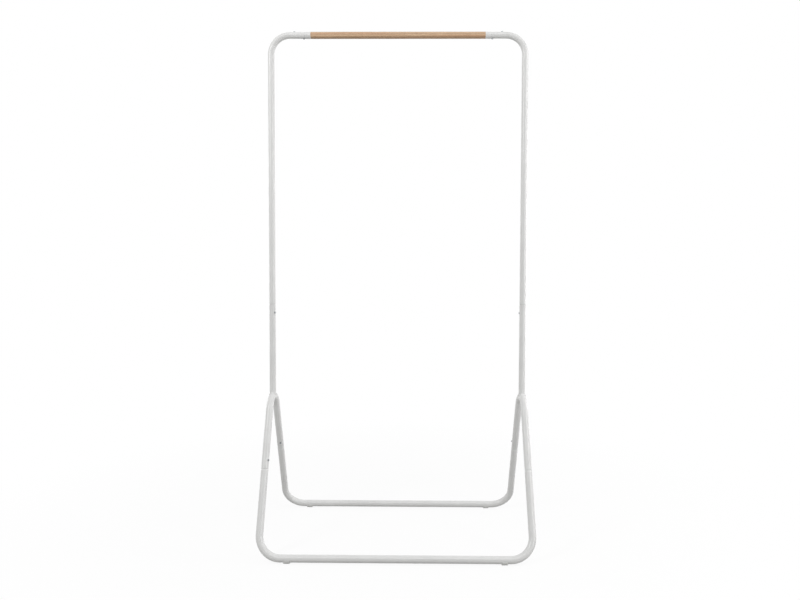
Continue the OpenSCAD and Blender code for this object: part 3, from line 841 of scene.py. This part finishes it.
class StudioSettings(bpy.types.PropertyGroup):
    """Camera, lamps and floor of the studio."""

    camera_place: bpy.props.FloatVectorProperty(
        name="Camera place", description="Where the camera stands", default=(0.0304, -2.0988, 0.8427),
        subtype="TRANSLATION", unit="LENGTH")
    camera_turn: angle("Camera turn", "Turn of the camera to the left", 0.010412)
    camera_dip: angle("Camera dip", "Angle of the camera below level", 0.041693)
    camera_roll: angle("Camera roll", "Roll of the camera", 0.002683)
    lens: number("Lens", "Focal length for a 36 mm wide sensor, in millimetres", 29.571)
    left_front: number("Left front lamp", "Power of the lamp left of the camera, in watts", 23.5)
    right_front: number("Right front lamp", "Power of the lamp right of the camera, in watts", 14.5)
    right_side: number("Right side lamp", "Power of the lamp on the right, in watts", 17)
    front_high: number("Front lamp", "Power of the lamp above the camera, in watts", 11.5)
    left_rear: number("Left rear lamp", "Power of the lamp behind the rack on the left, in watts", 14)
    right_rear: number("Right rear lamp", "Power of the lamp behind the rack on the right, in watts", 28)
    ambient: number("Ambient", "Strength of the white room's light", 0.48)
    floor: colour("Floor", "Colour of the paper floor, as it lights the rack", "#B0B0AE")
    felt: colour("Felt", "Colour of the dark card's felt", "#333333")
    felt_nap: colour("Felt nap", "Colour of the felt's nap where it catches light", "#474747")


# Each soft box: its place, width and height
LAMPS = {
    "left_front": ((-1.9, -1.7, 2.2), 0.6, 1.4),
    "right_front": ((1.9, -1.6, 1.25), 0.5, 2.0),
    "right_side": ((2.6, -0.1, 1.8), 1.2, 1.7),
    "front_high": ((0.0, -2.0, 2.9), 1.8, 1.0),
    "left_rear": ((-3.6, 2.4, 1.1), 1.2, 2.0),
    "right_rear": ((3.6, 2.4, 1.1), 1.2, 2.0),
}
LAMP_TARGET = Vector((0, 0, 0.9))
FLOOR_CENTRE, FLOOR_HALF_SIDE = Vector((0, 2, 0)), 9
CARD_CENTRE, CARD_HALF_WIDTH, CARD_HALF_HEIGHT = Vector((0.1, -2.75, 1.15)), 1.0, 1.15


def white_to_the_eye(tree):
    """How far a shader gives way to plain white: fully for the camera, glossy and clear surfaces."""
    rays = add(tree, "ShaderNodeLightPath").outputs
    seen = maths(tree, "MAXIMUM", rays["Is Camera Ray"], rays["Is Glossy Ray"])
    return maths(tree, "MAXIMUM", seen, rays["Is Transmission Ray"])


def paper_floor(studio):
    """Seamless paper, which looks white and keeps a trace of the rack's shadow."""
    material = bpy.data.materials.new("seamless paper")
    material.use_nodes = True
    tree = material.node_tree
    tree.nodes.clear()
    place = add(tree, "ShaderNodeTexCoord").outputs["Object"]
    fibres = relief(tree, noise(tree, place, size=3 * MM), strength=0.05, depth=0.1 * MM)
    paper = add(tree, "ShaderNodeBsdfDiffuse", {"Color": studio.floor, "Normal": fibres})
    bright = add(tree, "ShaderNodeBsdfDiffuse", {"Color": WHITE, "Normal": fibres})
    white = add(tree, "ShaderNodeEmission", {"Strength": 1.0})
    # The lit paper fades to plain white away from the rack, so that no line shows where it ends
    away = add(tree, "ShaderNodeVectorMath", {0: place}, operation="LENGTH")
    plain = spread(tree, away.outputs["Value"], (0.6, 1.6), (0.9, 1.0))
    shaded = add(tree, "ShaderNodeMixShader", {0: plain, 1: bright, 2: white})
    both = add(tree, "ShaderNodeMixShader", {0: white_to_the_eye(tree), 1: paper, 2: shaded})
    add(tree, "ShaderNodeOutputMaterial", {"Surface": both})
    return material


def dark_felt(studio):
    """Dark wool felt on a board."""
    # It stands for the dark room behind the camera, which the tubes show as a darker middle
    material, tree, shader, place = surface("dark wool felt", Roughness=0.95)
    nap = noise(tree, place, size=4 * MM)
    feed(tree, shader.inputs["Base Color"], mixed(tree, nap, studio.felt, studio.felt_nap))
    return material


def panel(name, centre, right, up, material):
    """A flat panel of the studio from its centre and half sides."""
    mesh = bpy.data.meshes.new(name)
    corners = [centre + right * a + up * b for a, b in ((-1, -1), (1, -1), (1, 1), (-1, 1))]
    mesh.from_pydata(corners, [], [(0, 1, 2, 3)])
    mesh.materials.append(material)
    made = bpy.data.objects.new(name, mesh)
    bpy.context.scene.collection.objects.link(made)
    return made


def soft_lamp(name, place, width, height, power):
    """A large soft box that faces the rack's middle."""
    data = bpy.data.lights.new(name, "AREA")
    data.shape = "RECTANGLE"
    data.size, data.size_y, data.energy = width, height, power
    lamp = bpy.data.objects.new(name, data)
    lamp.location = place
    lamp.rotation_mode = "QUATERNION"
    lamp.rotation_quaternion = (LAMP_TARGET - Vector(place)).to_track_quat("-Z", "Y")
    bpy.context.scene.collection.objects.link(lamp)


def white_room(strength):
    """A world that lights with a strength and looks plain white."""
    world = bpy.data.worlds.new("white room")
    world.use_nodes = True
    tree = world.node_tree
    tree.nodes.clear()
    room = add(tree, "ShaderNodeBackground", {"Color": WHITE, "Strength": strength})
    white = add(tree, "ShaderNodeBackground", {"Color": WHITE, "Strength": 1.0})
    both = add(tree, "ShaderNodeMixShader", {0: white_to_the_eye(tree), 1: room, 2: white})
    add(tree, "ShaderNodeOutputWorld", {"Surface": both})
    return world


def studio_camera(studio):
    """The camera that sees the rack as the photograph does."""
    data = bpy.data.cameras.new("camera")
    data.sensor_width, data.lens = 36, studio.lens
    data.clip_start, data.clip_end = 0.05, 60
    camera = bpy.data.objects.new("camera", data)
    camera.matrix_world = (Matrix.Translation(studio.camera_place)
                           @ Matrix.Rotation(studio.camera_turn, 4, "Z")
                           @ Matrix.Rotation(math.radians(90) - studio.camera_dip, 4, "X")
                           @ Matrix.Rotation(studio.camera_roll, 4, "Z"))
    bpy.context.scene.collection.objects.link(camera)
    return camera


class RACK_OT_set_stage(bpy.types.Operator):
    """Sets the white studio: paper floor, dark card, soft boxes and the camera"""

    bl_idname = "rack.set_stage"
    bl_label = "Set the stage"

    def execute(self, context):
        scene = context.scene
        studio = scene.rack_studio
        panel("floor", FLOOR_CENTRE, Vector((FLOOR_HALF_SIDE, 0, 0)), Vector((0, FLOOR_HALF_SIDE, 0)),
              paper_floor(studio))
        card = panel("dark_card", CARD_CENTRE, Vector((CARD_HALF_WIDTH, 0, 0)),
                     Vector((0, 0, CARD_HALF_HEIGHT)), dark_felt(studio))
        card.visible_camera = False
        for name, (place, width, height) in LAMPS.items():
            soft_lamp(name, place, width, height, getattr(studio, name))
        scene.world = white_room(studio.ambient)
        scene.camera = studio_camera(studio)
        scene.view_settings.view_transform = "Standard"
        return {"FINISHED"}


GROUPS = {"rack_finishes": RackFinishes, "rack_rail": RailSizes, "rack_weld": WeldSizes,
          "rack_screws": ScrewSizes, "rack_buttons": ButtonSizes, "rack_springs": SpringSizes,
          "rack_glides": GlideSizes, "rack_studio": StudioSettings}
OPERATORS = [RACK_OT_coat_tubes, RACK_OT_turn_rail, RACK_OT_lay_welds, RACK_OT_drive_screws,
             RACK_OT_fit_buttons, RACK_OT_bend_springs, RACK_OT_press_glides, RACK_OT_set_stage]


class RACK_PT_sidebar(bpy.types.Panel):
    """Lists the rack's pieces and their settings."""

    bl_label = "Clothes rack"
    bl_idname = "RACK_PT_sidebar"
    bl_space_type = "VIEW_3D"
    bl_region_type = "UI"
    bl_category = "Clothes rack"

    def draw(self, context):
        for operator in OPERATORS:
            self.layout.operator(operator.bl_idname)
        for name, group in GROUPS.items():
            box = self.layout.box()
            for setting in group.__annotations__:
                box.prop(getattr(context.scene, name), setting)


def register():
    """Registers the settings, the operators and the panel."""
    FINISHES_MADE.clear()
    for name, group in GROUPS.items():
        bpy.utils.register_class(group)
        setattr(bpy.types.Scene, name, bpy.props.PointerProperty(type=group))
    for made in OPERATORS + [RACK_PT_sidebar]:
        bpy.utils.register_class(made)


def unregister():
    """Takes out what register put in."""
    for made in [RACK_PT_sidebar] + OPERATORS[::-1]:
        bpy.utils.unregister_class(made)
    for name, group in GROUPS.items():
        delattr(bpy.types.Scene, name)
        bpy.utils.unregister_class(group)


def main():
    """Makes every piece and the stage."""
    register()
    bpy.ops.rack.coat_tubes()
    bpy.ops.rack.turn_rail()
    bpy.ops.rack.lay_welds()
    bpy.ops.rack.drive_screws()
    bpy.ops.rack.fit_buttons()
    bpy.ops.rack.bend_springs()
    bpy.ops.rack.press_glides()
    bpy.ops.rack.set_stage()


if __name__ == "__main__":
    main()
